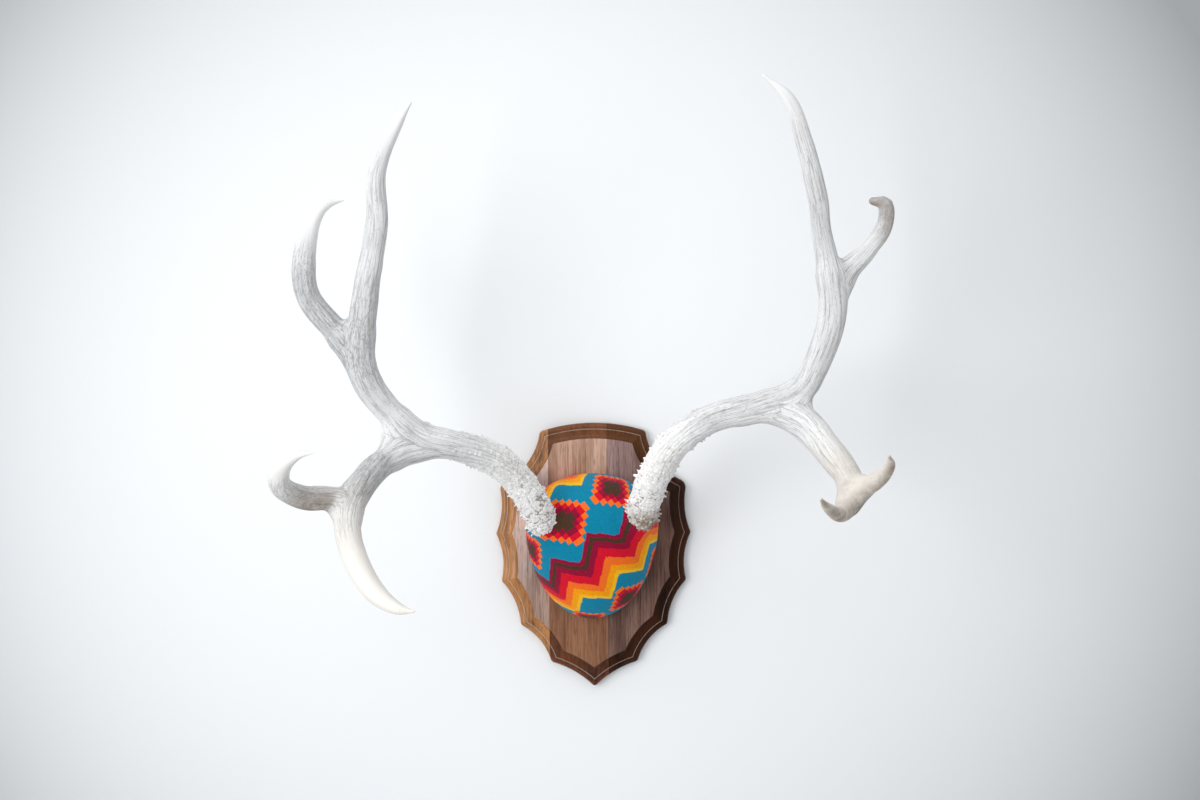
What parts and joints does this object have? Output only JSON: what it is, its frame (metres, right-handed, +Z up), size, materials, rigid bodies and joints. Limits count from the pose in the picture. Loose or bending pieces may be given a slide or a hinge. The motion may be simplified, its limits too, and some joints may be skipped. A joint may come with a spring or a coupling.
{
  "type": "mounted deer antlers",
  "caption": "Pair of bleached mule deer antlers, forked twice on each side, on a blanket-wool dome and a scalloped walnut shield that hangs on a wall.",
  "frame": {"origin": "centre of the plaque's back face, half way up the shield, on the wall plane", "axes": "+X to the viewer's right, +Y into the wall, +Z up; the antlers come forward along -Y"},
  "size_m": [0.6181, 0.3271, 0.6386],
  "materials": {
    "walnut_left": "satin, golden-brown walnut, left stave",
    "walnut_middle": "satin, mid-brown walnut, middle stave",
    "walnut_right": "satin, dark walnut, right stave",
    "wool": "matte woven blanket wool in bright bands on teal",
    "antler": "bleached antler, chalky, pearled near the burr and smooth at the tips",
    "steel": "plated steel"
  },
  "bodies": {
    "root": {"plaque_stave_left": "walnut_left", "plaque_stave_middle": "walnut_middle", "plaque_stave_right": "walnut_right", "skull_cap_wool": "wool", "hanger_plate": "steel", "hanger_screw_left": "steel", "hanger_screw_right": "steel", "plate_screw_1": "steel", "plate_screw_2": "steel", "plate_screw_3": "steel", "antler_left_burr": "antler", "antler_left_beam": "antler", "antler_left_back_branch": "antler", "antler_left_back_tine_tall": "antler", "antler_left_back_tine_outer": "antler", "antler_left_front_branch": "antler", "antler_left_front_tine_inner": "antler", "antler_left_front_tine_outer": "antler", "antler_right_burr": "antler", "antler_right_beam": "antler", "antler_right_back_branch": "antler", "antler_right_back_tine_tall": "antler", "antler_right_back_tine_outer": "antler", "antler_right_front_branch": "antler", "antler_right_front_tine_inner": "antler", "antler_right_front_tine_outer": "antler"}
  },
  "joints": []
}
